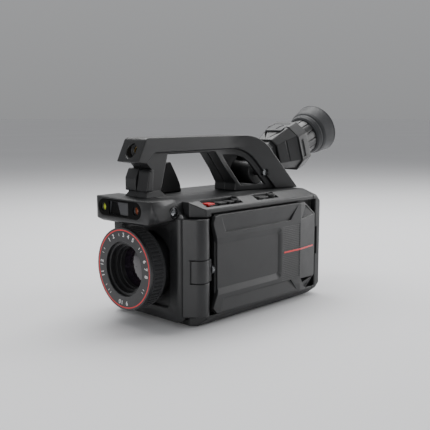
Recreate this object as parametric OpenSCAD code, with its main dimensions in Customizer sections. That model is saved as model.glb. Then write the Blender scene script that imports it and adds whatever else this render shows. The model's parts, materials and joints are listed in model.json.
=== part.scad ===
// Hand-held thermal imaging camera with a top handle, a side screen and a tilting viewfinder.
// Millimetres. +Z up, the lens looks along -Y, +X is the screen side.
// Origin: mouth of the tripod socket in the base.
// Inside the modules, y is counted from the plane where the front frame meets the housing.

/* [Housing] */
// Width across the two housing halves
body_w = 112; // [108:1:120]
// Height of the housing over the base
body_h = 105; // [104:1:108]
// Length of the housing, without the front frame
body_len = 170; // [168:1:180]
// Wall thickness of the moulded shells
wall = 2.5; // [2:0.25:3]
// Distance from the front plane back to the tripod socket
socket_y = 80; // [70:1:90]

/* [Front] */
// Width of the front frame
frame_w = 90; // [88:1:92]
// Depth of the front frame
frame_d = 10; // [8:1:11]
// Width of the sensor hood over the lens
hood_w = 70; // [68:1:76]
// Reach of the hood in front of the front plane
hood_reach = 34; // [30:1:36]

/* [Lens] */
// Height of the optical axis over the base
lens_z = 47.6; // [46:0.2:49]
// Outer radius of the front ring
lens_r = 35.4; // [34:0.2:36]
// Free radius inside the lens barrel
barrel_bore_r = 22; // [20:0.5:22]
// Number of ribs round the focus ring
focus_ribs = 60; // [36:6:72]

/* [Screen] */
// Thickness of the folded screen from its inner face to its outer face
lcd_t = 9.4; // [8:0.1:9.4]
// Height of the screen's lower edge
lcd_z0 = 9.4; // [9:0.1:11]
// Height of the screen's upper edge
lcd_z1 = 94; // [90:0.5:94]

/* [Handle] */
// Height of the handle's top over the base
handle_top = 157.5; // [155:0.5:160]
// Height of the underside of the grip
grip_under = 145; // [143:0.5:146]
// Width of the grip
grip_w = 28; // [26:1:30]

/* [Viewfinder] */
// Tilt of the eyepiece above level, at rest
vf_tilt = 19.8; // [15:0.1:22]
// Radius of the eyecup's rim
eyecup_r = 26; // [24:0.5:28]

/* [Hidden] */

$fn = 64;
charcoal = "#2b2c2e";
soft_black = "#151516";
rubber_grey = "#1d1e20";
steel = "#a9acb0";
board_green = "#1f5a3a";

half_w = body_w / 2;
front_wall = 3;
floor_t = 5;
split_y = 158;
rear_t = 5;
side_x = half_w;
shoulder_w = 12;
shoulder_h = 6;
base_edge = 6;
front_cut_w = 11;
front_cut_d = 9;
frame_z0 = 4;
frame_z1 = 95;
hood_z0 = 86.5;
hood_z1 = body_h + 2.5;
hood_flare = 5;
hood_corner = 8;
frame_corner = 5;
recess_depth = 4;
recess_half_w = 31.5;
recess_z0 = 14;
recess_z1 = 83;
lens_hole_r = 31;

hinge_x = 50;
hinge_y = 5.5;
hinge_r = 9.3;
hinge_z0 = 9.3;
hinge_z1 = 91.7;
knuckle_r = 10;
knuckle_z0 = 38.3;
knuckle_z1 = 57.3;
knuckle_gap = 0.4;
pin_r = 2;
pin_play = 0.05;
shaft_x = 52.5;
shaft_z = (knuckle_z0 + knuckle_z1) / 2;
shaft_r = 3.2;
bay_x = 50;
lcd_x0 = 50.6;
lcd_x1 = lcd_x0 + lcd_t;
bezel_t = 2.2;
bay_y0 = 15.3;
bay_y1 = 162.2;

keypad_z = 100.2;
keys_x = [43.5, 51.5];
key_mid = (keys_x[0] + keys_x[1]) / 2;
key_travel = 1;
key_z = keypad_z + key_travel + 0.3;
key_y = [19.7, 33.5, 44.8, 53.8, 103];
stem_r = 1.5;
rocker_y = 88;
rocker_belly = 1.2;
ports_z = 24.2;
leg_floor = 2.5;

flare_y = 80;
flare_k = 0.235;
cheek_t = 3;
vf_y = 124;
vf_z = 121.3;
vf_barrel_r = 12;
vf_barrel_w = 25;
collar_s = 74.6;
eye_tube_r = 15;
eye_tube_s = 59;
display_s = 44;

module from_socket() { translate([0, -socket_y, 0]) children(); }
module slab_x(x0, x1) { translate([x0, 0, 0]) rotate([90, 0, 90]) linear_extrude(x1 - x0) children(); }
module slab_y(y0, y1) { translate([0, y1, 0]) rotate([90, 0, 0]) linear_extrude(y1 - y0) children(); }
module slab_z(z0, z1) { translate([0, 0, z0]) linear_extrude(z1 - z0) children(); }
module block(lo, hi) { translate(lo) cube(hi - lo); }
module rod_y(y0, y1, r, x = 0, z = lens_z) {
    translate([x, y0, z]) rotate([-90, 0, 0]) cylinder(h = y1 - y0, r = r);
}
module rod_x(x0, x1, r, y, z) { translate([x0, y, z]) rotate([0, 90, 0]) cylinder(h = x1 - x0, r = r); }
module tube_y(y0, y1, r_out, r_in, x = 0, z = lens_z) {
    difference() {
        rod_y(y0, y1, r_out, x, z);
        rod_y(y0 - 1, y1 + 1, r_in, x, z);
    }
}
module rounded(w, h, r) { offset(r = r, $fn = 32) square([w - 2 * r, h - 2 * r], center = true); }

// ---- Housing ----

// Section across the housing: bevelled base edges and a sloping shoulder along each top edge
module body_section() {
    polygon([[-side_x + base_edge, 0], [side_x - base_edge, 0], [side_x, base_edge],
             [side_x, body_h - shoulder_h], [side_x - shoulder_w, body_h],
             [shoulder_w - side_x, body_h], [-side_x, body_h - shoulder_h], [-side_x, base_edge]]);
}
module body_plan() {
    polygon([[-side_x, front_cut_d], [front_cut_w - side_x, 0], [side_x - front_cut_w, 0],
             [side_x, front_cut_d], [side_x, body_len], [-side_x, body_len]]);
}
module body_outer(y1) {
    intersection() {
        slab_y(0, y1) body_section();
        slab_z(-1, body_h + 1) body_plan();
    }
}
module body_inner() { slab_y(front_wall, body_len) offset(delta = -wall) body_section(); }
module base_pocket(clear) {
    block([-30 - clear, 45 - clear, -1], [30 + clear, 125 + clear, 2.5 + clear]);
}
module keypad_pockets() {
    block([38.5, 13, keypad_z], [keys_x[1] + 1.5, 58.5, body_h + 1]);
    block([41.5, 79, keypad_z], [keys_x[1] + 0.7, 109, body_h + 1]);
}
module left_housing() from_socket() color(charcoal) difference() {
    intersection() {
        body_outer(split_y);
        block([0, -1, -1], [side_x + 1, split_y + 1, body_h + 1]);
    }
    difference() {
        body_inner();
        block([47.5, 12, 3], [side_x + 1, split_y + 3, 99.5]);
        block([35, 0, 5], [side_x + 1, 22, 97]);
        block([35.5, 2, 97], [side_x + 1, 112, body_h]);
        block([-1, 0, 0], [side_x, split_y + 3, floor_t]);
    }
    block([bay_x, bay_y0, lcd_z0 - 1], [side_x + 1, bay_y1, lcd_z1 + 1]);
    block([37.5, -1, hinge_z0 - 0.5], [side_x + 1, bay_y0 + 0.1, hinge_z1 + 0.5]);
    block([46, bay_y0 - 0.5, 41], [side_x + 1, 19.5, 55]);
    knuckle_room();
    keypad_pockets();
    for (y = key_y) translate([key_mid, y, 97.2]) cylinder(h = 6, r = stem_r + 0.1);
    rod_y(-1, front_wall + 1, lens_hole_r);
    base_pocket(0.1);
    translate([0, socket_y, -1]) cylinder(h = floor_t + 2, r = 6.1);
}
module right_housing() from_socket() color(charcoal) difference() {
    intersection() {
        body_outer(split_y);
        block([-side_x - 1, -1, -1], [0, split_y + 1, body_h + 1]);
    }
    difference() {
        body_inner();
        block([-side_x, 0, 0], [1, split_y + 3, floor_t]);
    }
    rod_y(-1, front_wall + 1, lens_hole_r);
    base_pocket(0.1);
    translate([0, socket_y, -1]) cylinder(h = floor_t + 2, r = 6.1);
    block([-side_x - 1, 60, 22], [-side_x + wall + 1, 106, 44]);
    rod_y(57.5, 108.5, 0.8 + pin_play, 1.2 - side_x, ports_z);
    for (i = [0:6]) block([-side_x - 1, 124 + i * 4, 60], [-side_x + wall + 1, 126 + i * 4, 80]);
}

door_z = 20;
door_y = body_len - 1.9;
door_half_w = 30;
door_top = 84;
module rear_cover() from_socket() color(charcoal) difference() {
    intersection() {
        slab_y(split_y, body_len) body_section();
        slab_x(-side_x, side_x)
            polygon([[split_y, 0], [body_len, 10], [body_len, body_h - 12], [split_y, body_h]]);
    }
    block([-side_x + 8, split_y - 1, 12], [side_x - 8, body_len - rear_t, body_h - 14]);
    block([-door_half_w, split_y, door_z - 2.4], [door_half_w, body_len + 1, door_top]);
    block([bay_x, split_y - 1, lcd_z0 - 1], [side_x + 1, bay_y1, lcd_z1 + 1]);
    block([side_x - 2.5, bay_y1 - 1, 40], [side_x + 1, bay_y1 + 2.8, 67.4]);
    rod_x(-door_half_w - 3, door_half_w + 3, 1.05, door_y, door_z);
}
module battery_door() from_socket() color(charcoal) {
    gap = 0.4;
    block([-door_half_w + gap, body_len - 3, door_z], [door_half_w - gap, body_len, door_top - gap]);
    rod_x(-door_half_w + gap, door_half_w - gap, 1.8, door_y, door_z);
    rod_x(-door_half_w - 2.5, door_half_w + 2.5, 1, door_y, door_z);
}
module battery() from_socket() color("#3a3d42") block([-27, 99, 24], [27, 162, 80]);
module battery_bay() from_socket() color(soft_black) difference() {
    block([-29, 96, 22], [29, 164, 82]);
    block([-27.3, 98.7, 23.7], [27.3, 165, 80.3]);
}
module base_plate() from_socket() color("#202123") difference() {
    block([-30, 45, 0], [30, 125, 2.5]);
    translate([0, socket_y, -1]) cylinder(h = 5, r = 6);
    for (x = [-24, 24], y = [52, 118]) translate([x, y, -1]) cylinder(h = 5, r = 2.2);
}
module screws() from_socket() color(steel) {
    for (x = [-24, 24], y = [52, 118]) translate([x, y, 0.4]) difference() {
        cylinder(h = 2.1, r = 2.2);
        translate([0, 0, -0.1]) cylinder(h = 1.1, r = 1.1, $fn = 6);
    }
    for (y = [106, 154], x = [-10, 10]) translate([x, y, body_h + leg_floor]) difference() {
        cylinder(h = 1.6, r = 2.6);
        translate([0, 0, 0.7]) cylinder(h = 1.1, r = 1.3, $fn = 6);
    }
}
module tripod_insert() from_socket() translate([0, socket_y, 0]) color("#b08d4f") difference() {
    cylinder(h = 11, r = 6);
    translate([0, 0, -0.01]) cylinder(h = 8.01, r = 2.55);
}
module rubber_feet() from_socket() color(rubber_grey) {
    for (x = [-40, 40], y = [24, 146]) translate([x, y, -0.8]) cylinder(h = 0.8, r = 6);
}

// ---- Front frame and its sensor hood ----

// Hood seen from above, at its widest
module hood_plan() {
    half = hood_w / 2 + hood_flare;
    polygon(concat(
        [for (a = [180:15:270]) [hood_corner - half + hood_corner * cos(a),
                                 hood_corner - hood_reach + hood_corner * sin(a)]],
        [for (a = [270:15:360]) [half - hood_corner + hood_corner * cos(a),
                                 hood_corner - hood_reach + hood_corner * sin(a)]],
        [[half, -4], [frame_w / 2, 0], [-frame_w / 2, 0], [-half, -4]]));
}
// Hood seen from the front: wider at the bottom, with slanted lower corners
module hood_face() {
    half = hood_w / 2;
    polygon([[-half - 1, hood_z1], [half + 1, hood_z1], [half + hood_flare, 92], [half + hood_flare, 90.5],
             [half - 6, hood_z0], [6 - half, hood_z0], [-half - hood_flare, 90.5],
             [-half - hood_flare, 92]]);
}
// Hood seen from the side: its top falls to the housing behind the handle's foot
module hood_side() {
    polygon([[-hood_reach, hood_z0 + 2], [-hood_reach + 2, hood_z0], [0, hood_z0], [0, body_h],
             [-9, hood_z1], [-hood_reach + 1.5, hood_z1], [-hood_reach, hood_z1 - 1.5]]);
}
module frame_plan() {
    half = frame_w / 2;
    polygon(concat(
        [for (a = [180:15:270]) [frame_corner - half + frame_corner * cos(a),
                                 frame_corner - frame_d + frame_corner * sin(a)]],
        [for (a = [270:15:360]) [half - frame_corner + frame_corner * cos(a),
                                 frame_corner - frame_d + frame_corner * sin(a)]],
        [[half, 0], [-half, 0]]));
}
sensor_z = 98.5;
plate_x = -4.3;
plate_t = 1;
window_x = [-25.5, 17];
window_lo = -18;
window_hi = 7.4;
window_half_h = 5.6;
stud_y = -10.5;
stud_z = 96.5;
stud_depth = 3;
module window_hole(clear, y0, y1) {
    block([window_lo - clear, y0, sensor_z - window_half_h - clear],
          [window_hi + clear, y1, sensor_z + window_half_h + clear]);
}
module front_frame() from_socket() color(charcoal) difference() {
    union() {
        intersection() {
            slab_y(-frame_d, 0) translate([0, (frame_z0 + frame_z1) / 2])
                rounded(frame_w, frame_z1 - frame_z0, 6);
            slab_z(0, 100) frame_plan();
        }
        intersection() {
            slab_z(hood_z0, hood_z1) hood_plan();
            slab_y(-hood_reach, 0) hood_face();
            slab_x(-side_x, side_x) hood_side();
        }
    }
    slab_y(-hood_reach, recess_depth - frame_d) translate([0, (recess_z0 + recess_z1) / 2])
        rounded(2 * recess_half_w, recess_z1 - recess_z0, 6);
    rod_y(-frame_d, 1, lens_hole_r);
    slab_y(-hood_reach - 1, -hood_reach + plate_t) translate([plate_x, sensor_z]) rounded(57, 14.6, 7.2);
    window_hole(0.5, -hood_reach, -8);
    for (x = window_x) rod_y(-hood_reach, -12, 3.6, x, sensor_z);
    rod_x(hood_w / 2 - stud_depth, side_x, 5.5, stud_y, stud_z);
    knuckle_room();
}
module sensor_window_plate() from_socket() color("#323335") difference() {
    slab_y(-hood_reach, -hood_reach + plate_t) translate([plate_x, sensor_z]) rounded(56.6, 14.2, 7);
    window_hole(0, -hood_reach - 1, -hood_reach + 2);
    for (x = window_x) rod_y(-hood_reach - 1, -hood_reach + 2, 3.4, x, sensor_z);
}
module visible_light_window() from_socket() color("#0c0d10")
    window_hole(0, 1.4 - hood_reach, 2.4 - hood_reach);
module visible_light_camera() from_socket() color(soft_black) {
    block([-17, -20, sensor_z - 5], [-5, -9, sensor_z + 5]);
    rod_y(-30, -20, 4, -11, sensor_z);
}
module laser_pointer() from_socket() color("#8a7a3a") rod_y(-31, -13, 3.5, window_x[0], sensor_z);
module range_light() from_socket() color("#7a4326") rod_y(-31, -13, 3.5, window_x[1], sensor_z);
stud_x = hood_w / 2 + 3.2;
module side_stud_ring() from_socket() color(soft_black) difference() {
    rod_x(hood_w / 2 - stud_depth, stud_x + 0.5, 5.4, stud_y, stud_z);
    rod_x(hood_w / 2 - 4, stud_x + 1, 4, stud_y, stud_z);
}
module side_stud() from_socket() color(steel) {
    rod_x(hood_w / 2 - stud_depth, stud_x - 1, 3.9, stud_y, stud_z);
    translate([stud_x - 1, stud_y, stud_z]) rotate([0, 90, 0]) rotate_extrude($fn = 48)
        polygon(concat([[0, 0]], [for (a = [0:10:90]) [3.2 * cos(a), 1.8 * sin(a)]]));
}

// ---- Side screen on its hinge ----

column_x = frame_w / 2 + 0.3;
// Round about the hinge axis, with a slanted flat in front and a block behind the frame
module column_plan() {
    difference() {
        union() {
            polygon([[column_x, -8.8], [hinge_x + 5.4, -2.1], [hinge_x, hinge_y],
                     [hinge_x, hinge_y + hinge_r], [38, hinge_y + hinge_r], [38, 0.3], [column_x, 0.3]]);
            translate([hinge_x, hinge_y]) circle(r = hinge_r);
        }
        translate([column_x - 10, -20]) square([10, 20.3]);
    }
}
// Free space round the turning knuckle
module knuckle_room() {
    at_hinge(knuckle_z0 - knuckle_gap)
        cylinder(h = knuckle_z1 - knuckle_z0 + 2 * knuckle_gap, r = knuckle_r + knuckle_gap);
}
module at_hinge(z0) { translate([hinge_x, hinge_y, z0]) children(); }
module hinge_column() from_socket() color("#3a3b3d") difference() {
    slab_z(hinge_z0, hinge_z1) column_plan();
    knuckle_room();
    at_hinge(knuckle_z0 - 14) cylinder(h = 48, r = pin_r);
}
module hinge_pin() from_socket() color(steel) at_hinge(knuckle_z0 - 14) cylinder(h = 46, r = pin_r);
module hinge_knuckle() from_socket() color("#3a3b3d") difference() {
    slab_z(knuckle_z0, knuckle_z1) union() {
        intersection() {
            column_plan();
            translate([hinge_x, hinge_y]) circle(r = knuckle_r);
            translate([41, -20]) square([30, 40]);
        }
        translate([hinge_x, hinge_y]) square([6, 9.5]);
    }
    at_hinge(knuckle_z0 - 1) cylinder(h = knuckle_z1 - knuckle_z0 + 2, r = pin_r + pin_play);
    rod_y(9.5, 20, shaft_r, shaft_x, shaft_z);
}
module swivel_shaft() from_socket() color(steel) {
    rod_y(9.6, 15.1, shaft_r, shaft_x, shaft_z);
    rod_y(15.1, 18.2, 4.8, shaft_x, shaft_z);
    rod_y(18.2, 26, 2.4, shaft_x, shaft_z);
}

lcd_y0 = 18.5;
lcd_y1 = 161.4;
// Outline of the screen seen from the side; the hinge end is waisted
module lcd_outline() {
    polygon([[19.8, 29.4], [19.5, 69.3], [14, 85.4], [13.6, lcd_z1 - 6], [15.8, lcd_z1 - 1.2], [21.5, lcd_z1],
             [140, lcd_z1], [lcd_y1, lcd_z1 - 13], [lcd_y1, lcd_z0 + 10.5], [143, lcd_z0],
             [18.5, lcd_z0 + 0.6], [13.2, lcd_z0 + 5.7]]);
}
module lcd_inner_outline() {
    polygon([[lcd_y0, lcd_z0], [143, lcd_z0], [lcd_y1, lcd_z0 + 10.5], [lcd_y1, lcd_z1 - 13],
             [140, lcd_z1], [lcd_y0, lcd_z1]]);
}
cover_edge_x = 56;
bevel_y = 133.5;
bevel_x1 = lcd_x1 - 4;
rib_y = [106, 132.5];
rib_z = [22.8, 74.8];
rib_count = 30;
rib_depth = 0.5;
strip_z = 49.5;
strip_y = [108.5, 158.5];
// Outer surface of the cover seen from above: flat, then falling away to the rear end
module cover_plan(inset = 0) {
    polygon([[40, 0], [lcd_x1 - inset, 0], [lcd_x1 - inset, bevel_y], [bevel_x1 - inset, lcd_y1],
             [40, lcd_y1]]);
}
pocket_depth = 1.6;
// Ramped pockets along the top and bottom of the cover, deepest at the ridge between them
module cover_ramps() {
    face = lcd_x1 + 0.01;
    intersection() {
        slab_y(10, 140) union() {
            polygon([[face, 78.7], [face - pocket_depth, 78.9], [face, lcd_z1 - 0.5]]);
            polygon([[face, 21.9], [face - pocket_depth, 21.7], [face, lcd_z0 + 0.5]]);
        }
        slab_x(50, 62) union() {
            polygon([[22.5, lcd_z1], [28.8, 78.6], [117.6, 79], [130, lcd_z1]]);
            polygon([[26.2, 22], [119.1, 21.8], [129.5, lcd_z0], [22, lcd_z0]]);
        }
    }
}
// Sunk middle panel with sloping sides
module cover_panel() {
    hull() {
        slab_x(lcd_x1 - pocket_depth, lcd_x1 - 1) translate([40, 50]) rounded(122, 37.6, 3);
        slab_x(lcd_x1, lcd_x1 + 1) translate([40, 50]) rounded(130, 48.4, 6);
    }
}
// Three-cornered facets in the rear corners
module cover_facets() {
    for (c = [[78.6, 91, 80.6], [20.4, 10.4, 18.6]]) hull() {
        slab_x(lcd_x1 - 2.4, lcd_x1 + 1) polygon([[134.5, c[0]], [142, c[1]], [142.5, c[1]], [135.5, c[0]]]);
        slab_x(bevel_x1 + 0.3, lcd_x1 + 1) polygon([[158.4, c[2]], [158.6, c[2] + 0.2], [158.2, c[2] + 0.2]]);
    }
}
module cover_ribs() {
    pitch = (rib_z[1] - rib_z[0]) / rib_count;
    for (i = [0:rib_count - 1])
        if (abs(rib_z[0] + (i + 0.5) * pitch - strip_z) > 1.4)
            block([lcd_x1 - rib_depth, rib_y[0], rib_z[0] + (i + 0.2) * pitch],
                  [lcd_x1 + 1, rib_y[1], rib_z[0] + (i + 0.8) * pitch]);
}
module cover_strip(half) {
    clear = half - strip_half;
    slab_z(strip_z - half, strip_z + half) difference() {
        cover_plan();
        cover_plan(0.9);
        translate([39, -1]) square([30, strip_y[0] + 1 - clear]);
        translate([39, strip_y[1] + clear]) square([30, 30]);
    }
}
strip_half = 0.65;
module lcd_cover() from_socket() color(charcoal) difference() {
    intersection() {
        union() {
            slab_x(lcd_x0 + bezel_t, cover_edge_x) lcd_inner_outline();
            slab_x(cover_edge_x, lcd_x1) lcd_outline();
        }
        slab_z(0, 100) cover_plan();
    }
    intersection() {
        slab_x(lcd_x0 + bezel_t - 1, cover_edge_x) offset(delta = -wall) lcd_inner_outline();
        slab_z(0, 100) cover_plan(wall + 1);
    }
    cover_ramps();
    cover_panel();
    cover_facets();
    cover_ribs();
    cover_strip(strip_half + 0.1);
    rod_y(lcd_y0 - 1, 26, 2.4, shaft_x, shaft_z);
}
module lcd_red_strip() from_socket() color("#c8141a") cover_strip(strip_half);
module lcd_bezel() from_socket() color(soft_black) difference() {
    slab_x(lcd_x0, lcd_x0 + bezel_t) offset(delta = -0.3) lcd_inner_outline();
    block([lcd_x0 - 1, 30, 18], [lcd_x0 + bezel_t + 1, 144, 85]);
    rod_y(lcd_y0 - 1, 26, 2.4, shaft_x, shaft_z);
}
module lcd_screen() from_socket() color("#08090b") {
    block([lcd_x0 + 0.4, 30.2, 18.2], [lcd_x0 + bezel_t, 143.8, 84.8]);
}
module lcd_board() from_socket() color(board_green) {
    block([lcd_x0 + bezel_t + 1, 32, 22], [lcd_x0 + bezel_t + 2.6, 138, 80]);
}

// ---- Lens ----

module lens_mount() from_socket() color(soft_black) tube_y(-4, 9, lens_hole_r - 0.2, 24.5);
module lens_barrel() from_socket() color(soft_black) {
    tube_y(-17, -4, 29.5, barrel_bore_r);
    tube_y(-31, -17, 26.5, barrel_bore_r);
    tube_y(-4, 8, 24.4, barrel_bore_r);
}
module focus_ring() from_socket() color(rubber_grey) difference() {
    rod_y(-30.8, -17.4, lens_r - 0.4);
    rod_y(-32, -16, 26.5 + pin_play);
    for (i = [0:focus_ribs - 1]) translate([0, 0, lens_z]) rotate([0, i * 360 / focus_ribs, 0])
        block([lens_r - 1.2, -29, -0.9], [lens_r + 1, -20, 0.9]);
}
module lens_front_ring() from_socket() color(soft_black) difference() {
    rod_y(-34, -31.1, lens_r);
    rod_y(-35, -30, 23.4);
    tube_y(-35, -33.6, 33.6, 32.8);
}
module lens_red_ring() from_socket() color("#c8141a") tube_y(-34, -33.6, 33.6, 32.8);
module baffle_ring() from_socket() color(soft_black) {
    tube_y(-31, -28.6, barrel_bore_r, 21);
}
module lens_cell() from_socket() color("#1a1a1c") {
    cell_r = barrel_bore_r - pin_play;
    tube_y(-26, -22, cell_r, 19);
    tube_y(-22, -12, cell_r, 18);
    tube_y(-12, 4, cell_r, 15);
}
module front_lens() from_socket() color("#20182a") {
    translate([0, -20, lens_z]) rotate([-90, 0, 0]) rotate_extrude()
        polygon(concat([[0, 6], [18, 6]], [for (a = [0:6]) [18 - 3 * a, 2 - 2 * (1 - pow(1 - a / 6, 2))]]));
}
module rear_lens() from_socket() color("#20182a") rod_y(-3, 1, 15);
module detector_module() from_socket() color("#7d8085") {
    block([-19, 16, lens_z - 19], [19, 44, lens_z + 19]);
    rod_y(11, 16, 14);
}
module chassis() from_socket() color("#6b6e72") difference() {
    block([-32, 12, 8], [32, 60, 88]);
    block([-30, 10, 10], [30, 61, 86]);
}
module main_board() from_socket() color(board_green) block([-40, 62, 14], [40, 63.6, 90]);
module speaker() from_socket() color(soft_black) rod_x(-53, -47, 12, 137, 70);
module port_block() from_socket() color("#2a2a2c") difference() {
    block([-53.4, 61, 23], [-44, 105, 43]);
    for (y = [66, 80, 92]) block([-54, y, 29], [-48, y + 9, 37]);
}
module port_cover() from_socket() color(rubber_grey) {
    block([-side_x, 60.4, ports_z], [-side_x + 2, 105.6, 43.6]);
    rod_y(60.4, 105.6, 1, 1.2 - side_x, ports_z);
    rod_y(58, 108, 0.8, 1.2 - side_x, ports_z);
}

// ---- Keys on the sloping shoulder ----

module key_stem(y) { translate([key_mid, y, 98.5]) cylinder(h = key_z - 98.5, r = stem_r); }
// Flat key, with the stem that runs down to its switch
module key(y, len, top) {
    block([keys_x[0], y - len / 2, key_z], [keys_x[1], y + len / 2, top]);
    key_stem(y);
}
module round_key(y, top) {
    translate([key_mid, y, key_z]) cylinder(h = top - key_z, r = 4);
    key_stem(y);
}
module record_button() from_socket() color("#d01c20") key(key_y[0], 8.4, 102.9);
module menu_button() from_socket() color(soft_black) key(key_y[1], 10.4, 102.8);
module back_button() from_socket() color(soft_black) key(key_y[2], 7, 102.8);
module ok_button() from_socket() color(soft_black) round_key(key_y[3], 103.6);
module mode_button() from_socket() color(soft_black) round_key(key_y[4], 104.2);
module zoom_rocker() from_socket() color(soft_black) {
    block([keys_x[0], rocker_y - 6.5, key_z], [keys_x[1], rocker_y + 6.5, 103.2]);
    rod_x(keys_x[0], keys_x[1], rocker_belly, rocker_y, keypad_z + rocker_belly + pin_play);
}

// ---- Handle ----

grip_side = grip_w / 2;
leg_side = grip_side - 3;
outer_r = 40;
inner_r = 36;
core_r = outer_r - 6;
bend = 50;
// Outer band of the handle seen from the side: head, grip and rear leg in one arch
module handle_band() {
    polygon(concat(
        [[-28, 137.4], [-19.2, 155.8], [-16.5, handle_top]],
        [for (a = [0:5:bend]) [100 + outer_r * sin(a), handle_top - outer_r + outer_r * cos(a)]],
        [[163, body_h], [136.5, body_h]],
        [for (a = [bend:-5:0]) [85 + inner_r * sin(a), grip_under + 0.6 - inner_r + inner_r * cos(a)]],
        [[-8.4, grip_under], [-18.9, 135.7]]));
}
// The narrower part under the band: front leg, underside, strut and lower edge of the rear leg
module handle_core() {
    polygon(concat(
        [[-19, 136], [-10, 150], [90, 150]],
        [for (a = [10:10:bend]) [100 + core_r * sin(a), handle_top - outer_r + core_r * cos(a)]],
        [[154, body_h], [91, body_h], [91.6, 112.5], [67, 142.8], [8, 142.8], [0.2, 111.8], [0.2, hood_z1],
         [-17, hood_z1], [-17, 112.6], [-13.7, 112.6], [-10.9, 131], [-16, 136]]));
}
// Plan of the handle: parallel sides, then a rear leg that widens backwards
module handle_plan(half) {
    rear_half = half + (165 - flare_y) * flare_k;
    polygon([[-half, -40], [half, -40], [half, flare_y], [rear_half, 165],
             [-rear_half, 165], [-half, flare_y]]);
}
// Room inside the rear leg, open to the back, in which the viewfinder swings
module leg_cavity() {
    intersection() {
        slab_z(body_h + leg_floor, handle_top + 1) handle_plan(leg_side - cheek_t);
        slab_x(-40, 40) polygon([[97.5, body_h + leg_floor], [95.5, 114], [77, 137], [84, 142],
                                 [100, 147], [109, 149], [113, 160], [180, 160],
                                 [180, body_h + leg_floor]]);
    }
}
module leg_window() {
    slab_x(0, 40) polygon([[98, 110.5], [94.3, 115.5], [77, 139.4], [92, 139], [99.5, 136.8],
                           [106, 132.4], [111, 127.2], [126, 109.5]]);
}
// Flared foot of the front leg, and the block in front of it
module front_foot() {
    hull() {
        block([0, -17, 112.4], [leg_side, 0.2, 112.6]);
        block([0, -19.5, hood_z1], [leg_side + 3, 2, hood_z1 + 0.1]);
    }
}
module front_block(near) {
    slab_x(0.5, grip_side + 0.3) polygon(near
        ? [[-19, 112.6], [-12, 112.6], [-10.5, 130.8], [-14.8, 130.8], [-16, 128.5]]
        : [[-19, 112.6], [-12, 112.6], [-10.5, 131.5], [-15, 131.5], [-19, 123]]);
}
// near is true for the half on the screen side, whose rear leg has a window
module handle_half(near) {
    difference() {
        union() {
            intersection() {
                slab_x(0, 40) handle_band();
                slab_z(body_h, handle_top + 1) handle_plan(grip_side);
            }
            intersection() {
                slab_x(0, 40) handle_core();
                slab_z(body_h, handle_top + 1) handle_plan(leg_side);
            }
            front_foot();
            front_block(near);
        }
        leg_cavity();
        if (near) leg_window();
        rod_x(-1, 40, 3, vf_y, vf_z);
        rod_y(-40, -18, 6, 0, 146.5);
        rod_y(-30, -4, 3.4, 0, 146.5);
        slab_z(body_h - 1, hood_z1) translate([-40, -40]) square([80, 40]);
    }
}
module handle_left() from_socket() color(charcoal) handle_half(true);
module handle_right() from_socket() color(charcoal) mirror([1, 0, 0]) handle_half(false);
module handle_insert() from_socket() color("#b08d4f") tube_y(-17, -5, 3.35, 2.55, 0, 146.5);
module antenna_fin() from_socket() color("#0d0d0e") {
    slab_x(-31, -20) polygon([[27, body_h], [34, 132], [36, 133.5], [40, 133.5], [48, 120],
                              [52, 112], [53.5, body_h]]);
}

// ---- Viewfinder: drawn along its own axis, which starts at the tilt pin ----

module along_eyepiece() {
    translate([0, vf_y, vf_z]) rotate([vf_tilt - 90, 0, 0]) children();
}
// Octagonal section; y runs downwards here, so the flat bottom sits at +y
module vf_section(half_x, top, bottom, cut) {
    polygon([[-half_x, cut - top], [cut - half_x, -top], [half_x - cut, -top], [half_x, cut - top],
             [half_x, bottom - cut], [half_x - cut, bottom], [cut - half_x, bottom],
             [-half_x, bottom - cut]]);
}
module viewfinder_body() from_socket() color(charcoal) difference() {
    union() {
        rod_x(-vf_barrel_w / 2, vf_barrel_w / 2, vf_barrel_r, vf_y, vf_z);
        along_eyepiece() {
            linear_extrude(38) vf_section(vf_barrel_w / 2 - 1, 17.5, 10.8, 5);
            hull() {
                translate([0, 0, 35]) linear_extrude(1) vf_section(14.5, 19.8, 11.2, 6);
                translate([0, 0, 59]) linear_extrude(1) vf_section(22, 23.9, 20, 9);
            }
            translate([0, 0, 59.5]) linear_extrude(collar_s - 59.5) vf_section(24, 24.6, 23.5, 11);
        }
    }
    rod_x(-30, 30, 3 + pin_play, vf_y, vf_z);
    along_eyepiece() {
        translate([0, 0, 18]) cylinder(h = 27, r = 8);
        translate([0, 0, display_s]) cylinder(h = 16, r = 9.5);
        translate([0, 0, eye_tube_s]) cylinder(h = 40, r = eye_tube_r);
        translate([-10, -26, 50]) cube([20, 5.2, 18]);
        for (side = [-1, 1]) {
            translate([side * 20 - 2.5, -15, 45.5]) cube([5, 22, 1.6]);
            translate([side * 25 - 2, -9, 61.5]) cube([4, 18, 4.5]);
        }
    }
}
module viewfinder_cap() from_socket() color("#4a4b4d") along_eyepiece() {
    translate([-9.8, -24.3, 50.2]) cube([19.6, 3.3, 17.6]);
}
module viewfinder_pin() from_socket() color(steel) rod_x(-23, 23, 3, vf_y, vf_z);
module viewfinder_display() from_socket() color("#20242c") along_eyepiece() {
    translate([-6.5, -6.5, display_s]) cube([13, 13, 3]);
}
module eyepiece_barrel() from_socket() color(soft_black) along_eyepiece() difference() {
    translate([0, 0, eye_tube_s]) cylinder(h = 102 - eye_tube_s, r = eye_tube_r);
    translate([0, 0, eye_tube_s - 1]) cylinder(h = 60, r = 12);
}
module eyepiece_lens() from_socket() color("#1a2028") along_eyepiece() {
    translate([0, 0, 93]) cylinder(h = 5, r = 12);
}
diopter_grooves = 14;
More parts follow.
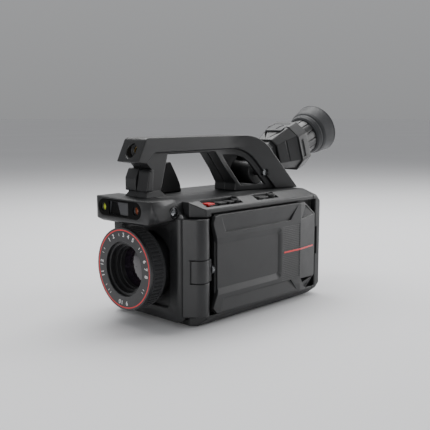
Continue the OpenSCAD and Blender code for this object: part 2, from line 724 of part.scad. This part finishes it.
module diopter_ring() from_socket() color("#3c3d3f") along_eyepiece() difference() {
    translate([0, 0, 75.2]) cylinder(h = 21, r = 18.1);
    translate([0, 0, 74]) cylinder(h = 24, r = eye_tube_r + pin_play);
    for (i = [1:diopter_grooves])
        rotate([0, 0, i * 360 / diopter_grooves]) block([17.3, -0.6, 77], [19, 0.6, 97]);
}
module eyecup() from_socket() color(rubber_grey) along_eyepiece() rotate_extrude()
    polygon([[eye_tube_r, 96.6], [18.8, 96.6], [20.4, 98], [21.6, 101.5], [21.4, 103], [22.6, 104.4],
             [23.4, 106.5], [eyecup_r - 0.5, 118.8], [eyecup_r, 120.3], [eyecup_r - 1.6, 120.3],
             [21.8, 107], [19.6, 103.5], [eye_tube_r, 102.2]]);

front_frame();
sensor_window_plate();
visible_light_window();
visible_light_camera();
laser_pointer();
range_light();
side_stud();
side_stud_ring();
left_housing();
right_housing();
rear_cover();
base_plate();
tripod_insert();
rubber_feet();
screws();
hinge_column();
hinge_pin();
hinge_knuckle();
swivel_shaft();
lcd_cover();
lcd_bezel();
lcd_screen();
lcd_board();
lcd_red_strip();
lens_mount();
lens_barrel();
focus_ring();
lens_front_ring();
lens_red_ring();
baffle_ring();
lens_cell();
front_lens();
rear_lens();
detector_module();
handle_left();
handle_right();
handle_insert();
antenna_fin();
viewfinder_pin();
viewfinder_body();
viewfinder_cap();
viewfinder_display();
eyepiece_barrel();
diopter_ring();
eyecup();
eyepiece_lens();
record_button();
menu_button();
back_button();
ok_button();
zoom_rocker();
mode_button();
battery();
battery_bay();
battery_door();
port_cover();
port_block();
main_board();
speaker();
chassis();
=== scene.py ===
"""Looks of the thermal imaging camera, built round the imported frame.

Metres; the lens looks along -Y, and +X is the screen side.
"""
import bmesh
import bpy
import json
import math
from mathutils import Matrix, Vector


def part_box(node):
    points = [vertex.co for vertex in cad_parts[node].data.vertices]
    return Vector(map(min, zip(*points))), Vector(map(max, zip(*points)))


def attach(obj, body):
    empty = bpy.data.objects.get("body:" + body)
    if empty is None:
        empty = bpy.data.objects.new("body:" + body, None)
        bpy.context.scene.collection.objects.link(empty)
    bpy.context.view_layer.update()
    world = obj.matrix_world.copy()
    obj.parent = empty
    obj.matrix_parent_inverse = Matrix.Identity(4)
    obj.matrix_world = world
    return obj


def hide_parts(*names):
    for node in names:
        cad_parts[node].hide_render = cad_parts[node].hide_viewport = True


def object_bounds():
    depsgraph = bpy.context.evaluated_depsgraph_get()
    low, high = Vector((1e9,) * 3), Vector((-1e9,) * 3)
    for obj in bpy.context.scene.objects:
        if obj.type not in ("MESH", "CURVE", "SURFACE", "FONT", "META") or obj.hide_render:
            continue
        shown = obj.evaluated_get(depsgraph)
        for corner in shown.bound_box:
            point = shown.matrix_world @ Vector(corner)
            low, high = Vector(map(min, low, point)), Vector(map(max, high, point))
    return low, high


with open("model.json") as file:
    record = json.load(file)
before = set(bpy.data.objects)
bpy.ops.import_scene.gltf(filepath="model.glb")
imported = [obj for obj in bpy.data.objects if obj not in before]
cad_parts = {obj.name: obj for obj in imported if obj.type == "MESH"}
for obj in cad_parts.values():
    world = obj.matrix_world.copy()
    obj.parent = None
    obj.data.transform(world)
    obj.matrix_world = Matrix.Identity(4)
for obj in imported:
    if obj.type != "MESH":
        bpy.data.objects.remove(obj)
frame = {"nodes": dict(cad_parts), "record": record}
CAD_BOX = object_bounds()
NODES = frame["nodes"]
MM = 0.001


# ---- materials ----

class Graph:
    """A node tree under construction: add() makes a node and links or sets its inputs."""

    def __init__(self, name):
        self.mat = bpy.data.materials.new(name)
        self.mat.use_nodes = True
        self.tree = self.mat.node_tree
        self.tree.nodes.clear()
        self.coord = self.add("ShaderNodeTexCoord").outputs["Object"]

    def add(self, kind, props=None, **inputs):
        node = self.tree.nodes.new(kind)
        for key, value in (props or {}).items():
            setattr(node, key, value)
        for key, value in inputs.items():
            socket = node.inputs[int(key[1:]) if key[0] == "i" and key[1:].isdigit() else key]
            if isinstance(value, bpy.types.NodeSocket):
                self.tree.links.new(value, socket)
            else:
                socket.default_value = value
        return node

    def math(self, operation, a, b=0.0, clamp=False):
        return self.add("ShaderNodeMath", {"operation": operation, "use_clamp": clamp}, i0=a, i1=b).outputs[0]

    def noise(self, scale, detail=2.0, rough=0.5, vector=None):
        return self.add("ShaderNodeTexNoise", None, Vector=vector or self.coord, Scale=scale, Detail=detail,
                        Roughness=rough).outputs["Fac"]

    def spread(self, fac, lo, hi, a=0.0, b=1.0):
        node = self.add("ShaderNodeMapRange", None, Value=fac)
        for i, v in zip((1, 2, 3, 4), (lo, hi, a, b)):
            node.inputs[i].default_value = v
        return node.outputs[0]

    def mix(self, fac, a, b):
        node = self.add("ShaderNodeMix", {"data_type": "RGBA"})
        for socket, value in ((node.inputs[0], fac), (node.inputs[6], a), (node.inputs[7], b)):
            if isinstance(value, bpy.types.NodeSocket):
                self.tree.links.new(value, socket)
            elif socket is node.inputs[0]:
                socket.default_value = value
            else:
                socket.default_value = (*value, 1.0)
        return node.outputs[2]

    def edges(self, radius=0.6 * MM):
        """1 along sharp edges, 0 on open faces."""
        bevel = self.add("ShaderNodeBevel", {"samples": 4}, Radius=radius).outputs[0]
        true = self.add("ShaderNodeNewGeometry").outputs["True Normal"]
        dot = self.add("ShaderNodeVectorMath", {"operation": "DOT_PRODUCT"}, i0=bevel, i1=true)
        return self.spread(dot.outputs["Value"], 0.985, 0.90)

    def bump(self, height, distance, strength=1.0, normal=None):
        node = self.add("ShaderNodeBump", None, Height=height, Distance=distance, Strength=strength)
        if normal:
            self.tree.links.new(normal, node.inputs["Normal"])
        return node.outputs[0]

    def surface(self, color, rough, normal=None, **fixed):
        shader = self.add("ShaderNodeBsdfPrincipled")
        for key, value in (("Base Color", color), ("Roughness", rough), ("Normal", normal)):
            if isinstance(value, bpy.types.NodeSocket):
                self.tree.links.new(value, shader.inputs[key])
            elif value is not None:
                shader.inputs[key].default_value = (*value, 1.0) if key == "Base Color" else value
        for key, value in fixed.items():
            shader.inputs[key.replace("_", " ")].default_value = value
        out = self.add("ShaderNodeOutputMaterial", None, Surface=shader.outputs[0])
        return self.mat


def scaled(color, k):
    return tuple(c * k for c in color)


def plastic(name, color, rough=0.46, grain=0.00006, grain_scale=1500.0, wear=0.5, spec=0.5, soften=1.0):
    """Spark-textured moulded plastic: fine grain, faint mottling, softened and dust-grey edges."""
    g = Graph(name)
    mottle = g.spread(g.noise(28.0, 3.0), 0.35, 0.65)
    base = g.mix(mottle, scaled(color, 0.88), scaled(color, 1.12))
    speck = g.spread(g.noise(grain_scale * 0.9, 1.0), 0.55, 0.75)
    base = g.mix(g.math("MULTIPLY", speck, 0.25), base, scaled(color, 1.7))
    scuff = g.math("MULTIPLY", g.edges(), g.spread(g.noise(160.0, 3.0), 0.42, 0.62), True)
    base = g.mix(g.math("MULTIPLY", scuff, wear), base, scaled(color, 3.0))
    gloss = g.spread(g.noise(60.0, 4.0), 0.3, 0.7, rough - 0.05, rough + 0.06)
    soft = g.add("ShaderNodeBevel", {"samples": 6}, Radius=soften * MM).outputs[0]
    normal = g.bump(g.noise(grain_scale, 2.0), grain, 0.9, soft)
    return g.surface(base, gloss, normal, Specular_IOR_Level=spec)


def rubber(name, color, rough=0.72):
    g = Graph(name)
    dust = g.spread(g.noise(45.0, 4.0, 0.6), 0.45, 0.75)
    base = g.mix(g.math("MULTIPLY", dust, 0.5), color, scaled(color, 1.6))
    base = g.mix(g.math("MULTIPLY", g.edges(), 0.35), base, scaled(color, 2.2))
    normal = g.bump(g.noise(2600.0, 2.0), 0.00004, 0.8)
    return g.surface(base, g.spread(g.noise(90.0, 2.0), 0.3, 0.7, rough - 0.06, rough + 0.08), normal,
                     Sheen_Weight=0.12, Sheen_Roughness=0.5, Specular_IOR_Level=0.35)


def metal(name, color, rough=0.25, brushed=None, wear=0.3):
    g = Graph(name)
    vector = g.coord
    if brushed:
        vector = g.add("ShaderNodeMapping", None, Vector=g.coord, Scale=brushed).outputs[0]
    streak = g.noise(1.0 if brushed else 300.0, 4.0, 0.6, vector)
    base = g.mix(g.spread(streak, 0.3, 0.7), scaled(color, 0.85), scaled(color, 1.08))
    base = g.mix(g.math("MULTIPLY", g.edges(), wear), base, scaled(color, 1.25))
    gloss = g.spread(streak, 0.3, 0.7, rough - 0.05, rough + 0.08)
    return g.surface(base, gloss, g.bump(streak, 0.00002, 0.5), Metallic=1.0)


def anodised(name, color, rough=0.36):
    """Satin black anodising with fine turning marks and bright worn edges."""
    g = Graph(name)
    mottle = g.spread(g.noise(120.0, 3.0), 0.35, 0.65)
    base = g.mix(mottle, scaled(color, 0.85), scaled(color, 1.15))
    base = g.mix(g.math("MULTIPLY", g.edges(0.4 * MM), 0.4), base, (0.16, 0.16, 0.165))
    gloss = g.spread(g.noise(400.0, 3.0), 0.3, 0.7, rough - 0.05, rough + 0.07)
    return g.surface(base, gloss, g.bump(g.noise(3000.0, 1.0), 0.00001, 0.6), Specular_IOR_Level=0.6)


def glass(name, color, rough=0.04, coat=1.0, spec=0.7):
    """Coated glass or emitter lens, seen as a dark glossy surface with faint smears."""
    g = Graph(name)
    smear = g.spread(g.noise(90.0, 5.0, 0.65), 0.4, 0.7)
    base = g.mix(smear, color, scaled(color, 1.25))
    gloss = g.spread(smear, 0.0, 1.0, rough, rough + 0.05)
    return g.surface(base, gloss, None, Coat_Weight=coat, Coat_Roughness=0.03, Specular_IOR_Level=spec)


def lens_coating(name):
    """Infrared lens coating: dark, shifting from red-brown in the middle to violet-blue at the rim."""
    g = Graph(name)
    facing = g.add("ShaderNodeLayerWeight", None, Blend=0.35).outputs["Facing"]
    base = g.mix(g.spread(facing, 0.0, 0.6), (0.014, 0.004, 0.004), (0.006, 0.005, 0.016))
    smear = g.spread(g.noise(140.0, 4.0), 0.4, 0.7)
    base = g.mix(g.math("MULTIPLY", smear, 0.25), base, (0.02, 0.010, 0.012))
    return g.surface(base, g.spread(smear, 0.0, 1.0, 0.03, 0.09), None, Coat_Weight=1.0, Coat_Roughness=0.02,
                     Specular_IOR_Level=0.9, Metallic=0.35)


def enamel(name, color, rough=0.32):
    g = Graph(name)
    base = g.mix(g.spread(g.noise(200.0, 3.0), 0.35, 0.65), scaled(color, 0.88), scaled(color, 1.08))
    base = g.mix(g.math("MULTIPLY", g.edges(0.3 * MM), 0.3), base, scaled(color, 1.5))
    return g.surface(base, g.spread(g.noise(300.0, 2.0), 0.3, 0.7, rough - 0.04, rough + 0.06),
                     g.bump(g.noise(1800.0, 2.0), 0.00001, 0.5), Coat_Weight=0.25, Coat_Roughness=0.2)


def board(name):
    """Solder-masked board with copper tracks showing through as lighter bands."""
    g = Graph(name)
    tracks = g.add("ShaderNodeTexBrick", None, Vector=g.coord, Scale=160.0).outputs["Fac"]
    base = g.mix(tracks, (0.012, 0.07, 0.035), (0.03, 0.16, 0.075))
    base = g.mix(g.math("MULTIPLY", g.spread(g.noise(30.0), 0.4, 0.6), 0.3), base, (0.02, 0.10, 0.05))
    return g.surface(base, 0.35, g.bump(tracks, 0.00003, 0.6), Coat_Weight=0.3, Coat_Roughness=0.15)


MATS = {
    "charcoal": plastic("charcoal_moulding", (0.0095, 0.0098, 0.0104), 0.44),
    "hinge": plastic("hinge_moulding", (0.011, 0.0113, 0.012), 0.40),
    "pale_cap": plastic("viewfinder_cap_moulding", (0.030, 0.031, 0.033), 0.45),
    "black": plastic("black_moulding", (0.006, 0.006, 0.0065), 0.5),
    # Matte black of the window mask print and the sensor window plate; it also paints the shade of the
    # viewfinder cap slot.
    "mask": plastic("matte_black_print_and_painted_shade", (0.002, 0.002, 0.002), 0.6, spec=0.08),
    "window": plastic("sensor_window", (0.030, 0.031, 0.034), 0.30, grain=0.00001),
    "gloss_black": enamel("gloss_black", (0.006, 0.006, 0.007), 0.16),
    "rubber": rubber("moulded_rubber", (0.014, 0.0145, 0.016)),
    "cup_rubber": rubber("eyecup_rubber", (0.020, 0.021, 0.023), 0.6),
    "lens_black": anodised("lens_anodising", (0.012, 0.012, 0.013)),
    "inner_black": anodised("lens_inner_black", (0.006, 0.006, 0.007), 0.5),
    "red": enamel("red_line", (0.70, 0.004, 0.008)),
    "red_key": enamel("red_key", (0.52, 0.006, 0.008), 0.4),
    "white": enamel("lens_marks", (0.62, 0.62, 0.62), 0.5),
    "steel": metal("brushed_steel", (0.16, 0.165, 0.17), 0.34, brushed=(900.0, 40.0, 900.0)),
    "chrome": metal("stud_chrome", (0.30, 0.31, 0.32), 0.12),
    "brass": metal("turned_brass", (0.60, 0.42, 0.17), 0.28, brushed=(60.0, 60.0, 2400.0)),
    "aluminium": metal("blasted_aluminium", (0.42, 0.43, 0.45), 0.42),
    "lens_coating": lens_coating("infrared_lens_coating"),
    "dark_glass": glass("dark_window_glass", (0.006, 0.007, 0.009)),
    "laser_glass": glass("laser_glass", (0.42, 0.50, 0.03), 0.08),
    "amber_glass": glass("amber_glass", (0.20, 0.045, 0.014), 0.08),
    "board": board("circuit_board"),
}

SLOT_MATS = {
    "charcoal_plastic": "charcoal", "hinge_plastic": "hinge", "black_plastic": "black",
    "gloss_black": "gloss_black",
    "rubber": "rubber", "lens_black": "lens_black", "red_paint": "red", "red_button": "red_key",
    "steel": "steel",
    "chrome": "chrome", "brass": "brass", "coated_glass": "lens_coating", "dark_glass": "dark_glass",
    "circuit_board": "board", "aluminium": "aluminium", "laser_glass": "laser_glass",
    "amber_glass": "amber_glass",
}
NODE_MATS = {"sensor_window_plate": "mask", "visible_light_window": "window",
             "viewfinder_cap": "pale_cap", "eyecup": "cup_rubber",
             "lens_cell": "inner_black", "baffle_ring": "inner_black"}
SLOTS = {s["node"]: s["material_slot"] for s in frame["record"]["subparts"]}
BODIES = {n: b for b, members in frame["record"]["behaviour"]["bodies"].items() for n in members}


def material_of(node):
    return MATS[NODE_MATS.get(node, SLOT_MATS[SLOTS[node]])]


# ---- mesh helpers ----

FLAT_FOLD = 0.6  # degrees; faces that meet at less than this become one face
SHARP_FOLD = 24.0  # degrees; folds sharper than this are rounded
BEVEL_SEGMENTS = 3
ROOM_SHARE = 0.42  # share of a short neighbouring edge that a bevel may take
SIDEWAYS = 0.25  # sine of the least angle at which a neighbouring edge counts
BEVEL_SHARES = (1.0, 0.8, 0.6, 0.45, 0.3, 0.15, 0.0)
MOST_VOLUME_CHANGE = 0.02
MOST_STICKING_OUT = 0.1 * MM
SPIN_STEPS = 96

def add_object(name, mesh):
    obj = bpy.data.objects.new(name, mesh)
    bpy.context.scene.collection.objects.link(obj)
    return obj


def bevel_weights(bm, width, angle, keep_sharp):
    """Weights the sharp edges for a bevel of this width, less where a short neighbour leaves little room."""
    layer = bm.edges.layers.float.new("bevel_weight_edge")
    for edge in bm.edges:
        if len(edge.link_faces) != 2 or edge.calc_face_angle(0.0) < angle:
            continue
        middle = (edge.verts[0].co + edge.verts[1].co) / 2
        if any(all(lo[i] <= middle[i] <= hi[i] for i in range(3)) for lo, hi in keep_sharp):
            continue
        along = (edge.verts[1].co - edge.verts[0].co).normalized()
        room = width
        for vert in edge.verts:
            for other in vert.link_edges:
                if other is edge:
                    continue
                way = (other.other_vert(vert).co - vert.co).normalized()
                side = way.cross(along).length
                if side > SIDEWAYS:
                    room = min(room, ROOM_SHARE * other.calc_length() * side)
        edge[layer] = room / width


def finish_mesh(obj, width, angle, keep_sharp):
    """Rounds the edges sharper than angle by width, shades smooth and keeps flat faces flat."""
    bpy.context.view_layer.objects.active = obj
    if width:
        bm = bmesh.new()
        bm.from_mesh(obj.data)
        bevel_weights(bm, width, math.radians(angle), keep_sharp)
        bm.to_mesh(obj.data)
        bm.free()
        mod = obj.modifiers.new("round", "BEVEL")
        mod.width = width
        mod.segments = BEVEL_SEGMENTS
        mod.limit_method = "WEIGHT"
        mod.use_clamp_overlap = False
        mod.harden_normals = True
    for poly in obj.data.polygons:
        poly.use_smooth = True
    mod = obj.modifiers.new("normals", "WEIGHTED_NORMAL")
    mod.keep_sharp = True
    depsgraph = bpy.context.evaluated_depsgraph_get()
    mesh = bpy.data.meshes.new_from_object(obj.evaluated_get(depsgraph), depsgraph=depsgraph)
    obj.modifiers.clear()
    obj.data = mesh
    return obj


def cleaned(node, cuts):
    """A copy of a CAD node's mesh with its coplanar triangles merged.

    The cuts, (axis, millimetres) pairs through the middles of holes, stay as edges, so that no merged
    face runs all the way round a hole.
    """
    bm = bmesh.new()
    bm.from_mesh(NODES[node].data)
    bmesh.ops.remove_doubles(bm, verts=bm.verts, dist=1e-6)
    for axis, at in cuts:
        normal = Vector([float(i == axis) for i in range(3)])
        made = bmesh.ops.bisect_plane(bm, geom=bm.verts[:] + bm.edges[:] + bm.faces[:], dist=1e-7,
                                      plane_co=normal * at * MM, plane_no=normal)
        for item in made["geom_cut"]:
            if isinstance(item, bmesh.types.BMEdge):
                item.seam = True
    bmesh.ops.dissolve_limit(bm, angle_limit=math.radians(FLAT_FOLD), verts=bm.verts, edges=bm.edges,
                             delimit={"SEAM"})
    return bm


def to_mesh(bm, name):
    mesh = bpy.data.meshes.new(name)
    bm.to_mesh(mesh)
    bm.free()
    return mesh


def stand_for(obj, node):
    """obj takes the place of a CAD node, with its body, slot and material."""
    obj.data.materials.clear()
    obj.data.materials.append(material_of(node))
    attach(obj, BODIES[node])
    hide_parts(node)
    return obj


def detail(obj, node, mat):
    """obj is an extra piece with its own material, on the body of a CAD node."""
    obj.data.materials.clear()
    obj.data.materials.append(mat)
    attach(obj, BODIES[node])
    return obj


def outside(mesh, whole):
    """How far mesh sticks out of the box round whole, in metres."""
    worst = 0.0
    for i in range(3):
        at, limit = [v.co[i] for v in mesh.vertices], [v.co[i] for v in whole.vertices]
        worst = max(worst, max(at) - max(limit), min(limit) - min(at))
    return worst


def volume(mesh):
    bm = bmesh.new()
    bm.from_mesh(mesh)
    result = bm.calc_volume(signed=True)
    bm.free()
    return result


def refined(node, width):
    """The CAD node with edges rounded by width, in mm, or by less where that would throw out spikes."""
    whole = volume(NODES[node].data)
    for share in BEVEL_SHARES:
        obj = add_object(node + "_shape", to_mesh(cleaned(node, CUTS.get(node, ())), node + "_shape"))
        finish_mesh(obj, share * width * MM, SHALLOW.get(node, SHARP_FOLD), KEEP_SHARP.get(node, ()))
        change = abs(volume(obj.data) / whole - 1.0)
        if change < MOST_VOLUME_CHANGE and outside(obj.data, NODES[node].data) < MOST_STICKING_OUT:
            break
        bpy.data.objects.remove(obj)
    return stand_for(obj, node)


def spun(name, profile, centre, axis):
    """Turns an open profile of (radius, distance along axis) pairs, in mm, about an axis through centre."""
    bm = bmesh.new()
    points = [bm.verts.new((r * MM, 0.0, s * MM)) for r, s in profile]
    edges = [bm.edges.new((points[i], points[i + 1])) for i in range(len(points) - 1)]
    bmesh.ops.spin(bm, geom=points + edges, cent=(0, 0, 0), axis=(0, 0, 1), angle=2 * math.pi,
                   steps=SPIN_STEPS, use_merge=True)
    bmesh.ops.remove_doubles(bm, verts=bm.verts, dist=1e-7)
    bmesh.ops.recalc_face_normals(bm, faces=bm.faces)
    turn = Vector((0, 0, 1)).rotation_difference(Vector(axis)).to_matrix().to_4x4()
    bm.transform(Matrix.Translation(centre) @ turn)
    return add_object(name, to_mesh(bm, name))


# ---- every CAD node gets its material; most get rounded edges ----

# Boxes, in metres, in which edges stay sharp
RIB_BOX = (Vector((0.052, 0.024, 0.022)), Vector((0.070, 0.054, 0.076)))
KEEP_SHARP = {"lcd_cover": (RIB_BOX,)}
# Nodes whose shallow folds are rounded too, with the least angle in degrees
SHALLOW = {"lcd_cover": 6.3, "viewfinder_body": 12.0}
# Widest rounding of each node's edges, in millimetres
ROUNDED = {
    "front_frame": 1.0, "sensor_window_plate": 0.25, "visible_light_window": 0.2, "side_stud_ring": 0.4,
    "left_housing": 0.8, "right_housing": 0.8, "rear_cover": 0.8, "base_plate": 0.4, "rubber_feet": 0.25,
    "screws": 0.2, "hinge_column": 1.4, "hinge_knuckle": 1.0, "swivel_shaft": 0.3, "lcd_cover": 0.9,
    "lcd_bezel": 0.3, "lcd_screen": 0.2, "lens_mount": 0.4, "lens_barrel": 0.4, "focus_ring": 0.3,
    "lens_front_ring": 0.5, "handle_left": 1.3, "handle_right": 1.3, "antenna_fin": 1.2,
    "viewfinder_body": 1.0, "viewfinder_cap": 0.4, "diopter_ring": 0.3,
    "record_button": 0.5, "menu_button": 0.5, "back_button": 0.5,
    "ok_button": 0.6, "mode_button": 0.8, "zoom_rocker": 0.5, "battery_door": 0.6, "port_cover": 0.4,
}

# Middles of holes and pockets, as (axis, millimetres from the tripod socket)
CUTS = {
    "lcd_cover": ((1, 39.0), (1, -10.0), (2, 50.0), (2, 85.0), (2, 16.0)),
    "front_frame": ((0, 0.3), (0, 50.0), (2, 98.5), (2, 47.6), (1, -90.5)),
    "left_housing": ((0, 0.5), (0, 46.0), (1, 3.0), (1, 60.0), (1, -55.0), (2, 50.0)),
    "right_housing": ((0, -0.5), (0, -40.0), (1, 3.0), (1, 60.0), (1, -40.0), (2, 33.0), (2, 70.0)),
    "rear_cover": ((0, 0.5), (2, 50.0), (1, 86.0)),
    "handle_left": ((2, 146.5), (2, 121.3), (2, 128.0), (1, 44.0), (1, 24.0), (0, 8.0)),
    "handle_right": ((2, 146.5), (2, 121.3), (2, 128.0), (1, 44.0), (1, 24.0), (0, -8.0)),
    "sensor_window_plate": ((2, 98.5),),
    "viewfinder_body": ((0, 0.3), (2, 121.3)),
    "hinge_column": ((2, 50.0),),
}

for node, obj in NODES.items():
    if node in ROUNDED:
        refined(node, ROUNDED[node])
    else:
        obj.data.materials.clear()
        obj.data.materials.append(material_of(node))


# ---- details the CAD leaves out ----

def middle(node):
    lo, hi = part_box(node)
    return (Vector(lo) + Vector(hi)) / 2


def carved(text, size):
    """A flat piece of lettering, centred, lying in the XY plane."""
    curve = bpy.data.curves.new("lettering", "FONT")
    curve.body = text
    curve.size = size
    curve.extrude = 0.06 * MM
    curve.offset = 0.10 * MM
    curve.align_x, curve.align_y = "CENTER", "CENTER"
    obj = add_object("lettering", curve)
    depsgraph = bpy.context.evaluated_depsgraph_get()
    mesh = bpy.data.meshes.new_from_object(obj.evaluated_get(depsgraph), depsgraph=depsgraph)
    bpy.data.objects.remove(obj)
    return mesh


def join(name, parts):
    """One object out of (mesh, matrix) pairs."""
    bm = bmesh.new()
    for mesh, matrix in parts:
        mesh.transform(matrix)
        bm.from_mesh(mesh)
        bpy.data.meshes.remove(mesh)
    return add_object(name, to_mesh(bm, name))


def box_mesh(size):
    bm = bmesh.new()
    bmesh.ops.create_cube(bm, size=1.0)
    bmesh.ops.scale(bm, vec=size, verts=bm.verts)
    return to_mesh(bm, "bar")


MARK_RADIUS = 29.2 * MM
LETTER_SIZE = 5.0 * MM
LETTER_STEP = 6.2  # degrees from one letter to the next
NUMBERS = (("1 2", 122), ("3 4 5", 76), ("6 7 8", 8), ("9 10", 268), ("11 12", 186))
TICKS = (150, 158, 100, 44, 38, 332, 326, 232, 226, 216)
TICK_SIZE = (0.4 * MM, 0.12 * MM, 2.2 * MM)


def on_lens_front(at):
    """Where a mark stands on the lens front, at degrees from the screen side, with its top outwards."""
    lo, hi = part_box("lens_front_ring")
    angle = math.radians(at)
    spot = Vector(((lo[0] + hi[0]) / 2, lo[1], (lo[2] + hi[2]) / 2))
    spot += Vector((math.cos(angle) * MARK_RADIUS, -0.02 * MM, math.sin(angle) * MARK_RADIUS))
    return Matrix.Translation(spot) @ Matrix.Rotation(math.pi / 2 - angle, 4, "Y")


def lens_marks():
    """Focus scale printed round the lens front: generic numbers with short lines between them."""
    upright = Matrix.Rotation(math.pi / 2, 4, "X")
    parts = []
    for text, at in NUMBERS:
        for i, letter in enumerate(text):
            if letter != " ":
                place = on_lens_front(at + LETTER_STEP * ((len(text) - 1) / 2 - i))
                parts.append((carved(letter, LETTER_SIZE), place @ upright))
    parts += [(box_mesh(TICK_SIZE), on_lens_front(at)) for at in TICKS]
    detail(join("lens_scale_marks", parts), "lens_front_ring", MATS["white"])


# Outline of the mask, as shares of the window's width and height
MASK_OUTLINE = ((0.10, 0.97), (0.40, 0.97), (0.55, 0.03), (0.03, 0.03), (0.03, 0.06))
MASK_PROUD = 0.05 * MM
MASK_THICK = 0.08 * MM


def window_mask():
    """Black printed mask over one end of the sensor window."""
    lo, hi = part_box("visible_light_window")
    bm = bmesh.new()
    front = [bm.verts.new((lo[0] + x * (hi[0] - lo[0]), lo[1] - MASK_PROUD, lo[2] + z * (hi[2] - lo[2])))
             for x, z in MASK_OUTLINE]
    face = bm.faces.new(front)
    made = bmesh.ops.extrude_face_region(bm, geom=[face])
    bmesh.ops.translate(bm, vec=(0, MASK_THICK, 0),
                        verts=[v for v in made["geom"] if isinstance(v, bmesh.types.BMVert)])
    bmesh.ops.recalc_face_normals(bm, faces=bm.faces)
    mask = add_object("sensor_window_mask", to_mesh(bm, "sensor_window_mask"))
    detail(mask, "visible_light_window", MATS["mask"])


def domed_glass(node, radius, rise):
    """A smooth bulging lens, sizes in mm, on the front of a CAD lens or lamp."""
    centre = middle(node)
    centre.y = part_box(node)[0][1]
    profile = [(0.0, 0.0), (radius, 0.0)]
    for step in range(6, 90, 6):
        angle = math.radians(step)
        profile.append((radius * math.cos(angle), rise * math.sin(angle)))
    profile.append((0.0, rise))
    obj = spun(node + "_dome", profile, centre, (0, -1, 0))
    for poly in obj.data.polygons:
        poly.use_smooth = True
    detail(obj, node, material_of(node))


CAP_RISE = 1.65 * MM  # from the middle of the lid's box towards its top face
SLOT_WIDTH = 1.3 * MM
SLOT_THICK = 0.3 * MM
# The two halves of the slot: length and place on the lid in mm, and bend in radians
SLOT_BARS = ((6.6, 2.0, -1.5, 0.0), (4.6, 3.2, 3.2, -0.6))


def painted_slot_shade():
    """Painted shade of the bent slot across the lid on top of the viewfinder: a thin matte black strip laid
    on the lid in place of the slot's shaded hollow.
    """
    mesh = NODES["viewfinder_cap"].data
    top = max(mesh.polygons, key=lambda poly: (round(poly.normal.z, 2), poly.area))
    centre = middle("viewfinder_cap") + top.normal * CAP_RISE
    turn = Vector((0, 0, 1)).rotation_difference(top.normal).to_matrix().to_4x4()
    lid = Matrix.Translation(centre) @ turn
    parts = []
    for length, x, y, bend in SLOT_BARS:
        place = lid @ Matrix.Translation((x * MM, y * MM, 0.05 * MM)) @ Matrix.Rotation(bend, 4, "Z")
        parts.append((box_mesh((SLOT_WIDTH, length * MM, SLOT_THICK)), place))
    # The strip is painted shade: matte black standing in for the dark inside of the slot.
    detail(join("viewfinder_cap_slot_painted_shade", parts), "viewfinder_cap", MATS["mask"])


lens_marks()
window_mask()
painted_slot_shade()
for lamp in ("laser_pointer", "range_light"):
    domed_glass(lamp, 2.4, 0.6)


# ---- floor, light and camera ----

def area_light(name, location, target, size, power):
    data = bpy.data.lights.new(name, "AREA")
    data.shape = "RECTANGLE"
    data.size, data.size_y = size
    data.energy = power
    light = bpy.data.objects.new(name, data)
    bpy.context.scene.collection.objects.link(light)
    light.location = location
    light.rotation_euler = (Vector(target) - Vector(location)).to_track_quat("-Z", "Y").to_euler()


FLOOR_GAP = 0.0002
FLOOR_REACH = 40.0
WORLD_LOW = 0.32  # strength at the horizon
WORLD_HIGH = 0.42  # strength at WORLD_RISE and above
WORLD_RISE = 0.30  # sine of an elevation


def build_stage(lowest):
    bm = bmesh.new()
    bmesh.ops.create_grid(bm, x_segments=1, y_segments=1, size=FLOOR_REACH)
    floor = add_object("studio_floor", to_mesh(bm, "studio_floor"))
    floor.location = (0, 0, lowest - FLOOR_GAP)
    g = Graph("studio_floor")
    tone = g.spread(g.noise(1.5, 2.0), 0.3, 0.7)
    floor.data.materials.append(g.surface(g.mix(tone, (0.70, 0.70, 0.71), (0.73, 0.73, 0.74)), 0.8))
    studio_world()
    area_light("top_softbox", (-0.25, 0.30, 0.95), (0, 0.05, 0.08), (1.0, 0.8), 17)
    area_light("front_softbox", (0.42, -1.40, 0.32), (0.03, 0, 0.07), (0.35, 0.8), 7)
    area_light("rear_softbox", (0.60, 1.35, 0.45), (0.03, 0.06, 0.09), (0.5, 0.7), 13)


def studio_world():
    """Pale surroundings, about as bright at the horizon as the far floor seen from the camera."""
    world = bpy.data.worlds.new("studio")
    world.use_nodes = True
    tree = world.node_tree
    coord = tree.nodes.new("ShaderNodeTexCoord")
    split = tree.nodes.new("ShaderNodeSeparateXYZ")
    rise = tree.nodes.new("ShaderNodeMapRange")
    for i, value in zip((1, 2, 3, 4), (0.0, WORLD_RISE, WORLD_LOW, WORLD_HIGH)):
        rise.inputs[i].default_value = value
    tree.links.new(coord.outputs["Generated"], split.inputs[0])
    tree.links.new(split.outputs["Z"], rise.inputs[0])
    background = tree.nodes["Background"]
    background.inputs[0].default_value = (0.97, 0.98, 1.0, 1)
    tree.links.new(rise.outputs[0], background.inputs[1])
    bpy.context.scene.world = world


FOCAL_LENGTH = 57.6
SENSOR_WIDTH = 36.0
CAMERA_PLACE = (0.448, -0.471, 0.175)
CAMERA_DIP = 8.15  # degrees below level
CAMERA_HEADING = 43.7  # degrees from +Y towards -X


def place_camera():
    data = bpy.data.cameras.new("camera")
    data.lens = FOCAL_LENGTH
    data.sensor_width = SENSOR_WIDTH
    cam = bpy.data.objects.new("camera", data)
    bpy.context.scene.collection.objects.link(cam)
    cam.location = CAMERA_PLACE
    cam.rotation_euler = (math.radians(90.0 - CAMERA_DIP), 0, math.radians(CAMERA_HEADING))
    bpy.context.scene.camera = cam


build_stage(CAD_BOX[0][2])
place_camera()
